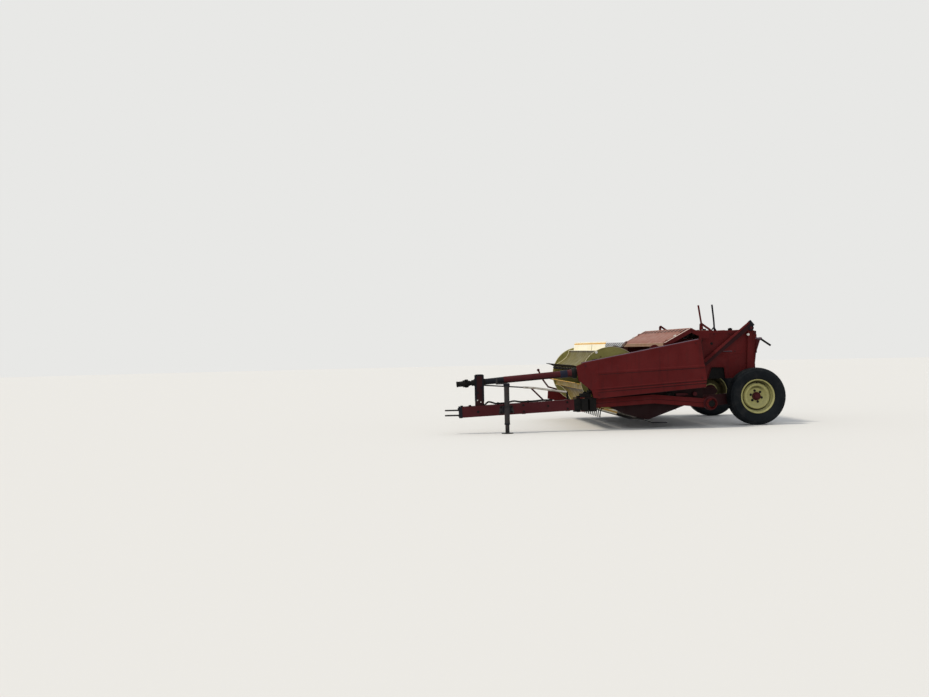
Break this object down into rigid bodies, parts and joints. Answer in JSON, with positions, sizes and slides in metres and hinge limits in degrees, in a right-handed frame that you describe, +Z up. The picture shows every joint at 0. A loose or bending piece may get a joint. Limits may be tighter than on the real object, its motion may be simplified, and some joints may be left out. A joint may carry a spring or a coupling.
{
  "type": "pull-type mower conditioner",
  "caption": "Towed farm mower conditioner: bat reel with tines, sickle cutterbar, crushing rolls, sloped hood, side drive shield, side tongue with driveline, parking jack and two tyred wheels.",
  "frame": {"origin": "on the ground, below the middle of the whole machine's box; the point midway between the wheels is at (0.085, -1.8005, 0)", "axes": "+X to the machine's right, +Y forward towards the hitch, +Z up"},
  "size_m": [3.29, 4.325, 1.541],
  "materials": {
    "red_paint": "weathered satin",
    "faded_paint": "faded and chalky",
    "cream_paint": "satin",
    "dark_steel": "oily and dull",
    "bright_steel": "worn",
    "roll_rubber": "worn",
    "driveline_paint": "weathered satin",
    "tyre": "dusty"
  },
  "bodies": {
    "frame": {"side_sheet_left": "red_paint", "side_sheet_right": "red_paint", "side_beam_left": "red_paint", "side_beam_right": "red_paint", "top_beam": "red_paint", "back_walls": "red_paint", "hood": "faded_paint", "roof": "faded_paint", "windrow_panels": "red_paint", "mast_post": "red_paint", "mast_strut": "red_paint", "crop_floor": "dark_steel", "cutterbar": "dark_steel", "skid_shoes": "dark_steel", "divider_rod": "red_paint", "reel_arms": "red_paint", "gearbox": "dark_steel", "control_levers": "red_paint", "pivot_pin": "bright_steel", "swing_latch": "dark_steel"},
    "axle": {"axle_pipe": "red_paint", "wheel_arms": "red_paint"},
    "wheel_left": {"tyre_left": "tyre", "rim_left": "cream_paint", "hub_left": "red_paint"},
    "wheel_right": {"tyre_right": "tyre", "rim_right": "cream_paint", "hub_right": "red_paint"},
    "knife_bar": {"knife": "bright_steel"},
    "reel": {"reel_shaft": "dark_steel", "reel_discs": "cream_paint", "reel_bats": "cream_paint", "reel_tines": "dark_steel", "reel_sheave": "dark_steel"},
    "roll_low": {"lower_roll": "roll_rubber"},
    "roll_up": {"upper_roll": "roll_rubber"},
    "shield": {"drive_shield": "red_paint"},
    "gate": {"swath_gate": "red_paint"},
    "cylinder": {"lift_barrel": "dark_steel"},
    "cylinder_rod": {"lift_rod": "bright_steel"},
    "tongue": {"tongue_beam": "red_paint", "hitch_clevis": "dark_steel", "drive_post": "red_paint", "driveline": "driveline_paint", "drive_yoke": "dark_steel", "stay_rod": "bright_steel"},
    "jack": {"jack_leg": "dark_steel"},
    "jack_inner": {"jack_foot": "dark_steel"}
  },
  "joints": [
    {"name": "header_lift", "type": "hinge", "parent": "frame", "child": "axle", "pos_m": [0.085, -1.1305, 0.3], "axis": [1, 0, 0], "range_deg": [-10, 5]},
    {"name": "wheel_left_spin", "type": "hinge", "parent": "axle", "child": "wheel_left", "pos_m": [-1.065, -1.8005, 0.362], "axis": [1, 0, 0], "continuous": true},
    {"name": "wheel_right_spin", "type": "hinge", "parent": "axle", "child": "wheel_right", "pos_m": [1.235, -1.8005, 0.362], "axis": [1, 0, 0], "continuous": true},
    {"name": "knife_slide", "type": "slide", "parent": "frame", "child": "knife_bar", "axis": [1, 0, 0], "range_m": [-0.038, 0.038]},
    {"name": "reel_spin", "type": "hinge", "parent": "frame", "child": "reel", "pos_m": [0.085, 0.0735, 0.638], "axis": [1, 0, 0], "continuous": true},
    {"name": "roll_low_spin", "type": "hinge", "parent": "frame", "child": "roll_low", "pos_m": [0.085, -0.6405, 0.4], "axis": [1, 0, 0], "continuous": true},
    {"name": "roll_up_spin", "type": "hinge", "parent": "frame", "child": "roll_up", "pos_m": [0.085, -0.6405, 0.662], "axis": [1, 0, 0], "continuous": true},
    {"name": "shield_open", "type": "hinge", "parent": "frame", "child": "shield", "pos_m": [-1.425, -0.9645, 1.099], "axis": [0, 0.9844, -0.176], "range_deg": [0, 100]},
    {"name": "gate_tilt", "type": "hinge", "parent": "frame", "child": "gate", "pos_m": [0.085, -1.8625, 1.166], "axis": [1, 0, 0], "range_deg": [-60, 25]},
    {"name": "cylinder_swing", "type": "hinge", "parent": "frame", "child": "cylinder", "pos_m": [1.411, -1.1175, 0.935], "axis": [1, 0, 0], "range_deg": [-1, 1.2]},
    {"name": "cylinder_slide", "type": "slide", "parent": "cylinder", "child": "cylinder_rod", "axis": [0, -0.3548, -0.935], "range_m": [-0.04, 0.022]},
    {"name": "tongue_swing", "type": "hinge", "parent": "frame", "child": "tongue", "pos_m": [-1.415, 0.5195, 0.326], "axis": [0, 0, 1], "range_deg": [-35, 18]},
    {"name": "jack_swing", "type": "hinge", "parent": "tongue", "child": "jack", "pos_m": [-1.505, 1.4145, 0.28849], "axis": [1, 0, 0], "range_deg": [-90, 0]},
    {"name": "jack_slide", "type": "slide", "parent": "jack", "child": "jack_inner", "axis": [0, 0, -1], "range_m": [-0.09, 0.15]}
  ],
  "couplings": [
    {"joint": "roll_up_spin", "follows": "roll_low_spin", "ratio": -1},
    {"joint": "cylinder_swing", "follows": "header_lift", "ratio": -0.0456},
    {"joint": "cylinder_slide", "follows": "header_lift", "m_per_rad": 0.21312}
  ]
}
